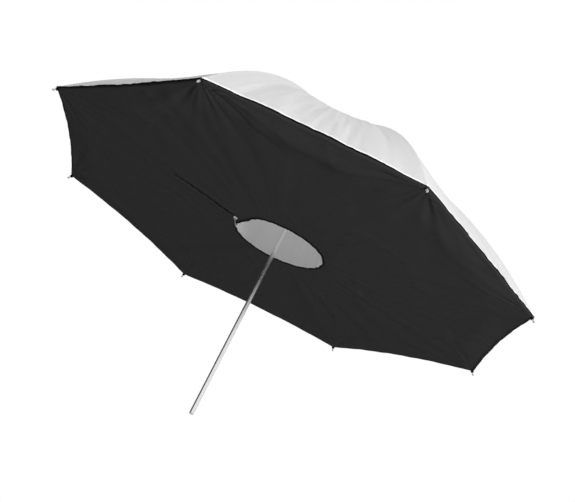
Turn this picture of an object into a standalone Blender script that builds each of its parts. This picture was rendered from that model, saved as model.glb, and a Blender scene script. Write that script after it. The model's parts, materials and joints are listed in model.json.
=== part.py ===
"""Umbrella reflector: white dish canopy on eight folding ribs, closed by a black front cover with a
round opening for the flash. Metres, +Z from the free end of the shaft to the top of the canopy, ribs
every 45 degrees.
"""

from math import acos, atan2, ceil, cos, pi, radians, sin, sqrt, tan

import bmesh
import bpy
from mathutils import Matrix, Vector

for old in list(bpy.data.objects):
    bpy.data.objects.remove(old, do_unlink=True)

# ---------------------------------------------------------------- driving dimensions
RIBS = 8
SPAN_R = 0.500            # hem corner from the shaft axis
HEM_Z = 0.376             # hem plane above the free end of the shaft
DOME_H = 0.2627           # canopy top above the hem plane
TOP_SLOPE = 0.15          # fall of the canopy at its top
HEM_SLOPE = 1.075         # fall of the canopy at its hem
SAG = 0.011               # how far a gore hangs in from the straight line between two ribs
SCALLOP = 0.0135          # rise of the hem between two ribs, as a share of the rib
CLOTH = 0.0010            # cloth thickness
GAP = 0.0003              # clearance between neighbours

SHAFT_R = 0.0040
WALL = 0.0008
RIB_R = 0.0016
STRETCHER_R = 0.0013
EYE_R = 0.0018            # flattened ends of ribs and stretchers
EYE_HALF = 0.00075
WIRE_R = 0.0005           # retaining wires of hub and runner
RUNNER_WALL = 0.0045      # runner outside the shaft
RUNNER_R = SHAFT_R + RUNNER_WALL
PIVOT_R = RUNNER_R + EYE_R + 0.0007  # radius of both retaining wires
BLADE = 0.0085            # flattened length next to each eye
BLADE_DEEP = 0.0014       # half its depth
SLOT_HALF = EYE_HALF + GAP
HUB_R = PIVOT_R + EYE_R + 0.0002
RIB_AIR = 0.0010          # between the cloth and the rib, bar corners included
RIB_FACET = 0.046         # longest straight piece of a rib
CLOTH_FACET = 0.054       # longest straight piece of the canopy along a rib
RIB_DROP = CLOTH + RIB_R + RIB_AIR  # rib centre line below the outside of the cloth
JOINT_AT = 0.45           # stretcher joint along the rib, as a share of the span
CLIP_WEB = 0.0007         # clip between its sleeve and its fork
JOINT_EYE = EYE_R + 0.0002
JOINT_DROP = RIB_R + CLIP_WEB + JOINT_EYE + 0.0007  # stretcher joint below the rib
PIN_R = 0.0008
BALL_R = 0.0020
TIP_OUT = 4 * BALL_R      # rib ball beyond the hem corner

HOLE_R = 0.0875           # round opening of the front cover
BELLY = 0.008             # how far the opening hangs below the hem corners
ZIP_FROM = HOLE_R + 0.0060
ZIP_LEN = 0.1425
ZIP_TO = ZIP_FROM + ZIP_LEN
ZIP_HALF = 0.0065
ZIP_SIDE = -(ZIP_HALF + 0.0031)  # zip beside its rib
ZIP_TAPE = 0.0006
COVER = 0.0008            # thickness of the front cover
RUNNER_LEN = 0.046
GRIP_R = RUNNER_R + 0.0020
PLUG_DEPTH = 0.012
STOP_LEN = 0.006

TURN = 2 * pi / RIBS
HALF = TURN / 2


def dome(radius):
    """Height of the outside of the cloth along a rib."""
    u = radius / SPAN_R
    flat = 2 * u**3 - 3 * u**2 + 1
    top = u**3 - 2 * u**2 + u
    hem = u**3 - u**2
    return HEM_Z + flat * DOME_H - top * SPAN_R * TOP_SLOPE - hem * SPAN_R * HEM_SLOPE


def fall(radius):
    """Angle of the cloth below level along a rib."""
    step = 1e-5
    return atan2(dome(radius - step) - dome(radius + step), 2 * step)


def rib_line(radius, drop=RIB_DROP):
    """Point (r, z) at a distance inside the cloth."""
    angle = fall(radius)
    return radius - drop * sin(angle), dome(radius) - drop * cos(angle)


HUB_Z = dome(PIVOT_R) - RIB_DROP
JOINT = rib_line(JOINT_AT * SPAN_R, RIB_DROP + JOINT_DROP)
RUNNER_Z = 2 * JOINT[1] - HUB_Z
TIP = rib_line(SPAN_R)
SHAFT_TOP = HUB_Z + 0.010

# ---------------------------------------------------------------- collections and materials
scene = bpy.context.scene
parts = bpy.data.collections.new("umbrella_reflector")
scene.collection.children.link(parts)
cutters = bpy.data.collections.new("cutters")
cutters.hide_render = True
scene.collection.children.link(cutters)


def material(name, colour, roughness, metallic=0.0):
    made = bpy.data.materials.new(name)
    made.use_nodes = True
    shader = made.node_tree.nodes["Principled BSDF"]
    shader.inputs["Base Color"].default_value = (*colour, 1)
    shader.inputs["Roughness"].default_value = roughness
    shader.inputs["Metallic"].default_value = metallic
    made.diffuse_color = (*colour, 1)
    return made


CHROME = material("polished_tube", (0.80, 0.80, 0.81), 0.12, 1)
STEEL = material("spring_steel", (0.62, 0.62, 0.63), 0.30, 1)
WHITE = material("white_cloth", (0.86, 0.86, 0.86), 0.75)
BLACK = material("black_cloth", (0.022, 0.022, 0.024), 0.60)
PLASTIC = material("black_plastic", (0.03, 0.03, 0.03), 0.40)
TAPE = material("zip_tape", (0.012, 0.012, 0.013), 0.70)
ZINC = material("zip_metal", (0.72, 0.72, 0.73), 0.25, 1)


# ---------------------------------------------------------------- mesh makers
def mesh_of(work, name):
    """Mesh of a finished bmesh."""
    bmesh.ops.recalc_face_normals(work, faces=work.faces)
    mesh = bpy.data.meshes.new(name)
    work.to_mesh(mesh)
    work.free()
    return mesh


def settled(made):
    """Welded mesh of an object as its modifiers or its bevel leave it; the object goes."""
    bpy.context.view_layer.update()
    ready = made.evaluated_get(bpy.context.evaluated_depsgraph_get())
    mesh = bpy.data.meshes.new_from_object(ready)
    mesh.transform(made.matrix_world)
    name = made.name
    bpy.data.objects.remove(made, do_unlink=True)
    work = bmesh.new()
    work.from_mesh(mesh)
    bpy.data.meshes.remove(mesh)
    bmesh.ops.remove_doubles(work, verts=work.verts, dist=1e-6)
    return mesh_of(work, name)


def added(name, data):
    made = bpy.data.objects.new(name, data)
    parts.objects.link(made)
    return made


def turned(name, profile, steps=24):
    """Solid of revolution about Z: a closed (r, z) outline on +X and a Screw modifier."""
    work = bmesh.new()
    corners = [work.verts.new((r, 0, z)) for r, z in profile]
    for a, b in zip(corners, corners[1:] + corners[:1]):
        if max(a.co.x, b.co.x) > 1e-7:
            work.edges.new((a, b))
    outline = bpy.data.meshes.new(name)
    work.to_mesh(outline)
    work.free()
    made = added(name, outline)
    screw = made.modifiers.new("turn", "SCREW")
    screw.steps = screw.render_steps = steps
    screw.use_merge_vertices = True
    screw.merge_threshold = 1e-6
    return settled(made)


def ring(name, radius, height, thick):
    """Round wire ring about Z."""
    bpy.ops.mesh.primitive_torus_add(
        major_radius=radius,
        minor_radius=thick,
        major_segments=24,
        minor_segments=6,
        location=(0, 0, height),
    )
    made = bpy.context.object
    made.name = name
    return settled(made)


def rod(name, line, radius, sizes):
    """Round bar in the XZ plane through (r, z) points; sizes scales its radius at each point."""
    curve = bpy.data.curves.new(name, "CURVE")
    curve.dimensions = "3D"
    curve.bevel_depth = radius
    curve.bevel_resolution = 2
    curve.use_fill_caps = True
    spline = curve.splines.new("POLY")
    spline.points.add(len(line) - 1)
    for point, (r, z), size in zip(spline.points, line, sizes):
        point.co = (r, 0, z, 1)
        point.radius = size
    return settled(added(name, curve))


def plate(name, outline, half):
    """Flat piece standing in the XZ plane: a filled outline of (r, z) points, extruded both ways."""
    curve = bpy.data.curves.new(name, "CURVE")
    curve.dimensions = "2D"
    curve.fill_mode = "BOTH"
    curve.extrude = half
    spline = curve.splines.new("POLY")
    spline.points.add(len(outline) - 1)
    spline.use_cyclic_u = True
    for point, (r, z) in zip(spline.points, outline):
        point.co = (r, z, 0, 1)
    made = added(name, curve)
    made.matrix_world = Matrix.Rotation(pi / 2, 4, "X")
    return settled(made)


def pin(name, centre, radius, half, sides=10):
    """Cylinder along Y at (r, z)."""
    work = bmesh.new()
    place = Matrix.Translation((centre[0], 0, centre[1])) @ Matrix.Rotation(pi / 2, 4, "X")
    bmesh.ops.create_cone(
        work,
        cap_ends=True,
        segments=sides,
        radius1=radius,
        radius2=radius,
        depth=2 * half,
        matrix=place,
    )
    return mesh_of(work, name)


def ball(name, centre, radius):
    """Sphere at (r, z)."""
    work = bmesh.new()
    place = Matrix.Translation((centre[0], 0, centre[1]))
    bmesh.ops.create_uvsphere(work, u_segments=8, v_segments=6, radius=radius, matrix=place)
    return mesh_of(work, name)


def block(name, low, high, turn=0.0, centre=(0, 0)):
    """Box with an optional pitch about Y through (r, z)."""
    size = [b - a for a, b in zip(low, high)]
    middle = [(a + b) / 2 for a, b in zip(low, high)]
    place = Matrix.Translation((centre[0], 0, centre[1])) @ Matrix.Rotation(turn, 4, "Y")
    place = place @ Matrix.Translation(middle) @ Matrix.Diagonal((*size, 1))
    work = bmesh.new()
    bmesh.ops.create_cube(work, size=1, matrix=place)
    return mesh_of(work, name)


def cloth(name, rows, thickness):
    """Sheet of cloth: a grid laid over rows of points on its upper face, thickened down by Solidify."""
    work = bmesh.new()
    across, along = len(rows[0]) - 1, len(rows) - 1
    bmesh.ops.create_grid(work, x_segments=across, y_segments=along, size=0.5)
    for corner in work.verts:
        i, j = round((corner.co.y + 0.5) * along), round((corner.co.x + 0.5) * across)
        corner.co = rows[i][j]
    work.normal_update()
    if sum(face.normal.z for face in work.faces) < 0:
        bmesh.ops.reverse_faces(work, faces=work.faces)
    mesh = bpy.data.meshes.new(name)
    work.to_mesh(mesh)
    work.free()
    made = added(name, mesh)
    thicken = made.modifiers.new("thicken", "SOLIDIFY")
    thicken.thickness = thickness
    thicken.offset = -1
    return settled(made)


def cutter(mesh):
    tool = bpy.data.objects.new("cutter_" + mesh.name, mesh)
    tool.display_type = "WIRE"
    tool.hide_render = True
    cutters.objects.link(tool)
    return tool


def carved(mesh, *steps):
    """The mesh after a run of ("UNION" or "DIFFERENCE", other mesh)."""
    made = added(mesh.name, mesh)
    for number, (operation, other) in enumerate(steps):
        change = made.modifiers.new(f"carve_{number}", "BOOLEAN")
        change.operation = operation
        change.solver = "EXACT"
        change.object = cutter(other)
    mesh = settled(made)
    tidy = bmesh.new()
    tidy.from_mesh(mesh)
    bmesh.ops.dissolve_degenerate(tidy, edges=tidy.edges, dist=2e-6)
    return mesh_of(tidy, mesh.name)


def place(name, mesh, coat, origin=(0, 0, 0), azimuth=0.0, parent=None):
    """Object whose origin is its own axis point; origin is given before turning to the azimuth."""
    mesh = mesh.copy()
    mesh.name = name
    mesh.transform(Matrix.Translation(-Vector(origin)))
    mesh.materials.clear()
    mesh.materials.append(coat)
    mesh.shade_smooth()
    mesh.set_sharp_from_angle(angle=radians(38))
    made = added(name, mesh)
    made.matrix_world = Matrix.Rotation(azimuth, 4, "Z") @ Matrix.Translation(origin)
    if parent is not None:
        bpy.context.view_layer.update()
        made.parent = parent
        made.matrix_parent_inverse = parent.matrix_world.inverted()
    return made


# ---------------------------------------------------------------- shaft, hub and top
def ring_profile(inner, outer, low, high, ease=0.0005):
    return [
        (inner, low),
        (outer - ease, low),
        (outer, low + ease),
        (outer, high - ease),
        (outer - ease, high),
        (inner, high),
    ]


bore = SHAFT_R + GAP
PLUG_LIP = 0.0015
shaft = place(
    "shaft",
    turned("shaft", ring_profile(SHAFT_R - WALL, SHAFT_R, PLUG_LIP + GAP, SHAFT_TOP, 0.0002)),
    CHROME,
)
plug_r = SHAFT_R - WALL - GAP
plug_outline = [
    (0, 0),
    (SHAFT_R - 0.0005, 0),
    (SHAFT_R, 0.0005),
    (SHAFT_R, PLUG_LIP),
    (plug_r, PLUG_LIP),
    (plug_r, PLUG_DEPTH),
    (0, PLUG_DEPTH),
]
place("shaft_plug", turned("shaft_plug", plug_outline), PLASTIC, parent=shaft)


def slots(mesh, height, low, high):
    """Cuts the eight eye slots and the wire groove into a turned crown."""
    steps = []
    for k in range(RIBS):
        slot = block("slot", (PIVOT_R - EYE_R - 2 * GAP, -SLOT_HALF, low), (HUB_R + 0.007, SLOT_HALF, high))
        slot.transform(Matrix.Rotation(k * TURN, 4, "Z"))
        steps.append(("DIFFERENCE", slot))
    room = WIRE_R + GAP
    groove = ring_profile(PIVOT_R - room, HUB_R + 0.007, height - room, height + room, 0)
    steps.append(("DIFFERENCE", turned("groove", groove, 24)))
    return carved(mesh, *steps)


HUB_UP = EYE_R + 0.0002
hub = turned("notch_hub", ring_profile(bore, HUB_R, HUB_Z - 0.0045, HUB_Z + HUB_UP))
place("notch_hub", slots(hub, HUB_Z, HUB_Z - 0.01, HUB_Z + 0.01), PLASTIC, parent=shaft)


place("notch_wire", ring("notch_wire", PIVOT_R, HUB_Z, WIRE_R), STEEL, parent=shaft)

WASHER_R = HUB_R + 0.0050
WASHER_T = 0.0010
CAP_R = SHAFT_R + 0.0038
washer_under = [(r, dome(r) + GAP) for r in (bore, PIVOT_R, WASHER_R)]
washer_over = [(r, z + WASHER_T) for r, z in reversed(washer_under)]
place("canopy_washer", turned("canopy_washer", washer_under + washer_over), PLASTIC, parent=shaft)

cap_low = dome(bore) + 2 * GAP + WASHER_T
cap_outline = [(0, SHAFT_TOP + GAP), (bore, SHAFT_TOP + GAP), (bore, cap_low), (CAP_R, cap_low)]
for k in range(7):
    a = pi / 2 * k / 6
    cap_outline.append((CAP_R * cos(a), cap_low + 0.003 + (SHAFT_TOP - cap_low) * sin(a)))
cap_outline[-1] = (0, cap_outline[-1][1])
place("top_cap", turned("top_cap", cap_outline), CHROME, parent=shaft)

# ---------------------------------------------------------------- runner
CROWN = EYE_R + 0.0012
runner_low = RUNNER_Z - CROWN - RUNNER_LEN
runner_outline = [
    (bore, RUNNER_Z + CROWN),
    (HUB_R - 0.0005, RUNNER_Z + CROWN),
    (HUB_R, RUNNER_Z + CROWN - 0.0005),
    (HUB_R, RUNNER_Z - CROWN),
    (RUNNER_R, RUNNER_Z - CROWN - 0.002),
    (RUNNER_R, runner_low + 0.006),
    (GRIP_R, runner_low + 0.004),
    (GRIP_R, runner_low + 0.0005),
    (GRIP_R - 0.0005, runner_low),
    (bore, runner_low),
]
LATCH_Z = RUNNER_Z - 0.024
LATCH_R = RUNNER_R - 0.0017
LEVER_HALF = 0.0015
LATCH_AZ = 1.5 * TURN + pi
room = LEVER_HALF + GAP
window = block("window", (0, -room, LATCH_Z - 0.0130), (HUB_R + 0.007, room, LATCH_Z + 0.0150))
pin_hole = pin("pin_hole", (LATCH_R, LATCH_Z), PIN_R + GAP, 0.02)
for tool in (window, pin_hole):
    tool.transform(Matrix.Rotation(LATCH_AZ, 4, "Z"))
runner_mesh = slots(turned("runner", runner_outline), RUNNER_Z, RUNNER_Z - CROWN - 0.0025, RUNNER_Z + 0.01)
runner_mesh = carved(runner_mesh, ("DIFFERENCE", window), ("DIFFERENCE", pin_hole))
runner = place("runner", runner_mesh, PLASTIC, (0, 0, RUNNER_Z))
runner_ring = ring("runner_wire", PIVOT_R, RUNNER_Z, WIRE_R)
place("runner_wire", runner_ring, STEEL, (0, 0, RUNNER_Z), parent=runner)
pin_mesh = pin("latch_pin", (LATCH_R, LATCH_Z), PIN_R, LEVER_HALF + 0.0029)
latch_at = (LATCH_R, 0, LATCH_Z)
place("latch_pin", pin_mesh, STEEL, latch_at, LATCH_AZ, runner)

lever = [
    (bore + GAP, -0.0110),
    (RUNNER_R - GAP, -0.0110),
    (RUNNER_R - 0.0001, 0.0030),
    (RUNNER_R + 0.0025, 0.0065),
    (RUNNER_R + 0.0025, 0.0125),
    (RUNNER_R + 0.0010, 0.0135),
    (LATCH_R - 0.0006, 0.0135),
    (LATCH_R - 0.0012, 0.0030),
    (LATCH_R - 0.0012, -0.0040),
    (bore + GAP, -0.0070),
]
latch_mesh = carved(
    plate("runner_latch", [(r, LATCH_Z + z) for r, z in lever], LEVER_HALF),
    ("DIFFERENCE", pin("latch_hole", (LATCH_R, LATCH_Z), PIN_R + GAP, 0.01)),
)
place("runner_latch", latch_mesh, PLASTIC, latch_at, LATCH_AZ, runner)

# ---------------------------------------------------------------- ribs, clips and stretchers
start_angle = -fall(PIVOT_R)
blade_end = (PIVOT_R + BLADE * cos(start_angle), HUB_Z + BLADE * sin(start_angle))
line, sizes = [blade_end], [0.6]
joint_r = JOINT_AT * SPAN_R
round_from = PIVOT_R + BLADE + 0.0025
near = ceil((joint_r - round_from) / RIB_FACET)
far = ceil((SPAN_R - joint_r) / RIB_FACET)
stations = [round_from + (joint_r - round_from) * k / near for k in range(near)]
stations += [joint_r + (SPAN_R - joint_r) * k / far for k in range(far + 1)]
for radius in stations:
    line.append(rib_line(radius))
    sizes.append(1.0)
tip_angle = -fall(SPAN_R)


def beyond_tip(reach):
    return TIP[0] + reach * cos(tip_angle), TIP[1] + reach * sin(tip_angle)


line.append(beyond_tip(TIP_OUT - BALL_R / 2))
sizes.append(0.7)
blade_low = (0, -EYE_HALF, -BLADE_DEEP)
blade_high = (BLADE + 0.0015, EYE_HALF, BLADE_DEEP)
rib_blade = block("rib_blade", blade_low, blade_high, -start_angle, (PIVOT_R, HUB_Z))
rib_mesh = carved(
    rod("rib", line, RIB_R, sizes),
    ("UNION", rib_blade),
    ("UNION", ball("rib_ball", beyond_tip(TIP_OUT), BALL_R)),
    ("UNION", pin("rib_eye", (PIVOT_R, HUB_Z), EYE_R, EYE_HALF + 0.00003)),
    ("DIFFERENCE", pin("rib_eye_hole", (PIVOT_R, HUB_Z), WIRE_R + GAP, 0.01)),
)

joint_angle = fall(JOINT_AT * SPAN_R)
clip_centre = rib_line(JOINT_AT * SPAN_R)
sleeve_half = RIB_R + GAP
clip_half = sleeve_half + 0.0011
clip_low = (-0.0045, -clip_half, -JOINT_DROP - JOINT_EYE - 0.0002)
clip_mesh = block("rib_clip", clip_low, (0.0045, clip_half, 0.0006), joint_angle, clip_centre)
sleeve_high = (0.02, sleeve_half, sleeve_half)
sleeve = block("sleeve", (-0.02, -sleeve_half, -sleeve_half), sleeve_high, joint_angle, clip_centre)
fork_high = (0.02, SLOT_HALF, -sleeve_half - CLIP_WEB)
fork = block("fork", (-0.02, -SLOT_HALF, -0.02), fork_high, joint_angle, clip_centre)
clip_mesh = carved(
    clip_mesh,
    ("DIFFERENCE", sleeve),
    ("DIFFERENCE", fork),
    ("UNION", pin("clip_rivet", JOINT, PIN_R, clip_half + 0.0006)),
)


def stretcher_solid():
    """Straight rod from the rib joint down to the runner wire, flattened and pierced at both ends."""
    end = (PIVOT_R, RUNNER_Z)
    length = sqrt((JOINT[0] - end[0]) ** 2 + (JOINT[1] - end[1]) ** 2)
    angle = atan2(end[1] - JOINT[1], end[0] - JOINT[0])
    stops = [(BLADE, 0.6), (BLADE + 0.003, 1), (length - BLADE - 0.003, 1), (length - BLADE, 0.6)]
    path = [(JOINT[0] + d * cos(angle), JOINT[1] + d * sin(angle)) for d, _ in stops]
    flat = (BLADE + 0.0015, EYE_HALF, BLADE_DEEP - 0.0002)
    low = (0, -flat[1], -flat[2])
    eye = EYE_HALF + 0.00003
    return carved(
        rod("stretcher", path, STRETCHER_R, [size for _, size in stops]),
        ("UNION", block("joint_blade", low, flat, -angle, JOINT)),
        ("UNION", block("runner_blade", low, flat, pi - angle, end)),
        ("UNION", pin("joint_eye", JOINT, JOINT_EYE, eye)),
        ("UNION", pin("runner_eye", end, EYE_R, eye)),
        ("DIFFERENCE", pin("joint_hole", JOINT, PIN_R + GAP, 0.01)),
        ("DIFFERENCE", pin("runner_hole", end, WIRE_R + GAP, 0.01)),
    )


stretcher_mesh = stretcher_solid()


# ---------------------------------------------------------------- cloth
def gore_point(radius, share):
    """Outside of the cloth at a share (0 at the rib, 0.5 midway) of the way to the next rib."""
    slack = 4 * share * (1 - share)
    r = radius * (1 - SCALLOP * slack * (radius / SPAN_R) ** 2)
    z = dome(r)
    sag = SAG * sin(pi * (r / SPAN_R) ** 0.8) * slack
    lean = atan2(tan(fall(r)), cos(HALF))
    x = r * (1 - share + share * cos(TURN))
    y = r * share * sin(TURN)
    inward = Vector((-sin(lean) * cos(HALF), -sin(lean) * sin(HALF), -cos(lean)))
    return Vector((x, y, z)) + inward * sag


SHARES = (0.0, 0.3, 0.65, 1.0)
PANEL_FROM = HUB_R + 0.0015
ROWS = ceil((SPAN_R - PANEL_FROM) / CLOTH_FACET)


def mirrored(row):
    """Row of points from the rib outward, with its mirror image on the other side of the rib."""
    left = [Vector((p.x, -p.y, p.z)) for p in reversed(row[1:])]
    return [tuple(p) for p in left + row]


def canopy_grid():
    rows = []
    for k in range(ROWS + 1):
        radius = PANEL_FROM + (SPAN_R - PANEL_FROM) * k / ROWS
        edge = 0.5 - 0.00018 / (radius * 2 * sin(HALF))
        rows.append(mirrored([gore_point(radius, edge * s) for s in SHARES]))
    return rows


canopy_mesh = cloth("canopy_panel", canopy_grid(), CLOTH)

COVER_SHARES = (0.0, 0.012, 0.034, 0.25, 0.5)
COVER_ROWS = 5
CORNER_CUT = 0.0100       # notch of the cover corner that lets the rib end through


def cover_point(s, t):
    """Upper face of the cover: s from the opening to the hem, t across from the rib to midway."""
    outer = gore_point(SPAN_R, t)
    lean = fall(SPAN_R)
    outer = outer - Vector((outer.x, outer.y, 0)).normalized() * ((CLOTH + 0.0009) / sin(lean))
    if t < 0.02:
        outer -= Vector((CORNER_CUT, 0, 0))
    outer.z -= 0.0006
    azimuth = atan2(outer.y, outer.x)
    edge_gap = 0.00018 if t > 0.49 else 0.0
    inner = Vector((HOLE_R * cos(azimuth), HOLE_R * sin(azimuth), HEM_Z - BELLY))
    point = inner.lerp(outer, s)
    if edge_gap:
        point += Vector((sin(HALF), -cos(HALF), 0)) * edge_gap
    return point


def cover_grid():
    return [
        mirrored([cover_point(k / COVER_ROWS, t) for t in COVER_SHARES])
        for k in range(COVER_ROWS + 1)
    ]


cover_mesh = cloth("cover_panel", cover_grid(), COVER)
hinge_r = cover_point(1.0, 0.0)
hinge_r = (hinge_r.x, 0, hinge_r.z)

names = {}
for k in range(RIBS):
    azimuth = pi + k * TURN
    number = k + 1
    rib = place(f"rib_{number}", rib_mesh, STEEL, (PIVOT_R, 0, HUB_Z), azimuth)
    joint = (JOINT[0], 0, JOINT[1])
    place(f"rib_clip_{number}", clip_mesh, STEEL, joint, azimuth, rib)
    place(f"stretcher_{number}", stretcher_mesh, STEEL, joint, azimuth, rib)
    place(f"canopy_panel_{number}", canopy_mesh, WHITE, (PIVOT_R, 0, HUB_Z), azimuth, rib)
    names[f"cover_{number}"] = place(f"cover_panel_{number}", cover_mesh, BLACK, hinge_r, azimuth, rib)

# ---------------------------------------------------------------- zip of the front cover
low_in = cover_point(0.0, 0.0)
low_out = cover_point(1.0, 0.0)
zip_slope = atan2(low_out.z - low_in.z, low_out.x - low_in.x)


def on_zip(radius, below):
    """Point (r, z) under the cover along the zip."""
    z = low_in.z + (radius - low_in.x) * tan(zip_slope) - COVER - below
    return radius, z


COIL_HALF = 0.0012
COIL_LOW = ZIP_TAPE / 2 + 0.0008
tape_line = [on_zip(r, GAP + ZIP_TAPE / 2 + 0.0002) for r in (ZIP_FROM, ZIP_TO)]
tape_low, tape_high = (0, -ZIP_HALF, -ZIP_TAPE / 2), (ZIP_LEN, ZIP_HALF, ZIP_TAPE / 2)
tape_mesh = block("zip_tape", tape_low, tape_high, -zip_slope, tape_line[0])
coil_high = (ZIP_LEN - 0.001, COIL_HALF, 0.0)
coil = block("coil", (0.001, -COIL_HALF, -COIL_LOW), coil_high, -zip_slope, tape_line[0])
tape_mesh = carved(tape_mesh, ("UNION", coil))
cover_one = names["cover_1"]
aside = Matrix.Translation((0, ZIP_SIDE, 0))
tape_mesh.transform(aside)
place("zip_tape", tape_mesh, TAPE, (tape_line[0][0], ZIP_SIDE, tape_line[0][1]), pi, cover_one)

SLIDER_AT = ZIP_FROM + 0.0045
slider_mid = on_zip(SLIDER_AT, GAP + ZIP_TAPE / 2 + 0.0002)
slider_top = -ZIP_TAPE / 2 - GAP
slider_low, slider_high = (-0.0045, -0.0034, slider_top - 0.0028), (0.0045, 0.0034, slider_top)
slider_mesh = block("zip_slider", slider_low, slider_high, -zip_slope, slider_mid)
channel_low = (-0.02, -COIL_HALF - 0.0004, -COIL_LOW - 0.0004)
channel = block("channel", channel_low, (0.02, COIL_HALF + 0.0004, 0.0), -zip_slope, slider_mid)
bridge = block("bridge", (-0.0030, -0.0011, -0.0062), (0.0030, 0.0011, -0.0030), -zip_slope, slider_mid)
eye_x, eye_z = slider_mid[0] - 0.0002, slider_mid[1] - 0.0046
slider_mesh = carved(
    slider_mesh,
    ("DIFFERENCE", channel),
    ("UNION", bridge),
    ("DIFFERENCE", pin("bridge_hole", (eye_x, eye_z), 0.0011, 0.01)),
)
slider_mesh.transform(aside)
slider = place("zip_slider", slider_mesh, ZINC, (slider_mid[0], ZIP_SIDE, slider_mid[1]), pi, cover_one)

pull_mesh = block("zip_pull", (-0.0006, -0.0030, -0.0150), (0.0006, 0.0030, 0.0007), 0.0, (eye_x, eye_z))
slit = block("pull_slit", (-0.01, -0.0014, -0.0036), (0.01, 0.0014, -0.0006), 0.0, (eye_x, eye_z))
end_hole = block("pull_hole", (-0.01, -0.0014, -0.0128), (0.01, 0.0014, -0.0100), 0.0, (eye_x, eye_z))
pull_mesh = carved(pull_mesh, ("DIFFERENCE", slit), ("DIFFERENCE", end_hole))
pull_mesh.transform(aside)
place("zip_pull", pull_mesh, ZINC, (eye_x, ZIP_SIDE, eye_z), pi, slider)

# ---------------------------------------------------------------- stop on the shaft, above the runner
TRAVEL_ANGLE = radians(57.0)
reach = sqrt((JOINT[0] - PIVOT_R) ** 2 + (HUB_Z - JOINT[1]) ** 2)
open_angle = acos((HUB_Z - JOINT[1]) / reach)
TRAVEL = 2 * reach * (cos(open_angle - TRAVEL_ANGLE) - cos(open_angle))
stop_low = RUNNER_Z + CROWN + 0.0005
upper = ring_profile(bore, SHAFT_R + 0.0030, stop_low, stop_low + STOP_LEN)
place("upper_stop", turned("upper_stop", upper), PLASTIC, parent=shaft)

print("hub_z", HUB_Z, "runner_z", RUNNER_Z, "joint", JOINT, "reach", reach, "open", open_angle)
print("travel", TRAVEL, "tip", TIP, "hinge", hinge_r, "latch", latch_at)
print("zip", slider_mid, (eye_x, eye_z), zip_slope)
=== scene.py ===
import json
from functools import partial
from math import atan2, cos, exp, hypot, pi, sin, tan

import bmesh
import bpy
import numpy as np
from mathutils import Matrix, Vector, noise


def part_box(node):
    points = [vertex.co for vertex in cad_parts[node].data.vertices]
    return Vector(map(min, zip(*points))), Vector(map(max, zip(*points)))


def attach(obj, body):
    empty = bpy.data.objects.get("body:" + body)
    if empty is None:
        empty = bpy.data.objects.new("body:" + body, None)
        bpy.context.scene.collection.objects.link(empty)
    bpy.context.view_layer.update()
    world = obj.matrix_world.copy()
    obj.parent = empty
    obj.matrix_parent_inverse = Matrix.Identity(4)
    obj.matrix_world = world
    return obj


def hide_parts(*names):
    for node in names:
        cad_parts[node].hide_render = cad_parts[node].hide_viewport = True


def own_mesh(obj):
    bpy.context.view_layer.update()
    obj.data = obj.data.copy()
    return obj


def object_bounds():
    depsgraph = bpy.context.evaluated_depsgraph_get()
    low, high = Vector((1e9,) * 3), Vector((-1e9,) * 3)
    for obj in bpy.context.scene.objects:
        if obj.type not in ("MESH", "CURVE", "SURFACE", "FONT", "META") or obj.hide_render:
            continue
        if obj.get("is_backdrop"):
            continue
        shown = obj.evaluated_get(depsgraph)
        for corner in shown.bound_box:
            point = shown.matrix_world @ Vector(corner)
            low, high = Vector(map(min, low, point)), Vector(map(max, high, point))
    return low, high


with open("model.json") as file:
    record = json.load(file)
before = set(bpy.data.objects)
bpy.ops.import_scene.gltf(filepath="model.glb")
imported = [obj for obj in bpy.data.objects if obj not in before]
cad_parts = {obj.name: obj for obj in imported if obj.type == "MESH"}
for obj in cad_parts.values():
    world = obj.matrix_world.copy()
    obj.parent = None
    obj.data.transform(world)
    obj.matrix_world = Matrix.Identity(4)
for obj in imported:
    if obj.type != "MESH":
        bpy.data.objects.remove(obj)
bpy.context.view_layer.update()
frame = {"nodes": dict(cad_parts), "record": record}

joints = {j["name"]: j for j in frame["record"]["behaviour"]["joints"]}

# Looks of an umbrella reflector: a white canopy of eight gores on steel ribs, and a black front cover
# with a round opening and a zip. Metres, with the shaft on Z and the canopy's top up. Rib 1 lies along
# -X with the zip beside it, and gore N lies between ribs N and N + 1.


def points_of(node):
    """Rest vertices of a CAD node in the row frame."""
    shape = frame["nodes"][node]
    return np.array([shape.matrix_world @ v.co for v in shape.data.vertices])


def pivot_of(joint):
    """Distance from the shaft and height of a joint."""
    at = Vector(joints[joint]["pos_m"])
    return hypot(at.x, at.y), at.z


# ------------------------------------------------------------------ sizes, most of them read from the frame
RIBS = 8
TURN = 2 * pi / RIBS
HALF = TURN / 2

panel = points_of("canopy_panel_1")
radii = np.hypot(panel[:, 0], panel[:, 1])
SPAN_R = float(radii.max())
HEM_Z = float(panel[radii.argmax(), 2])
PANEL_FROM = float(radii.min())
TOP_SLOPE, HEM_SLOPE = 0.15, 1.075  # fall per radius at the top of the dome and at its hem
TOP_EASE = 0.97  # mean fall as far as the panel's inner edge, as a share of that at the top
DOME_H = float(panel[:, 2].max()) - HEM_Z + TOP_SLOPE * PANEL_FROM * TOP_EASE
SAG = 0.022 * SPAN_R  # how far a gore pulls in between two ribs
SCALLOP = 0.0135  # share of the radius that its hem pulls in

PIVOT_R, HUB_Z = pivot_of("rib_fold_1")
KNEE_R, KNEE_Z = pivot_of("stretcher_fold_1")
low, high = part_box("runner_wire")
RUNNER_Z = (low[2] + high[2]) / 2
low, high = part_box("shaft")
SHAFT_R, SHAFT_LOW, SHAFT_TOP = (high[0] - low[0]) / 2, low[2], high[2]
RIB_DROP = 0.0036  # canopy to the middle of a rib's wire

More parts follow.
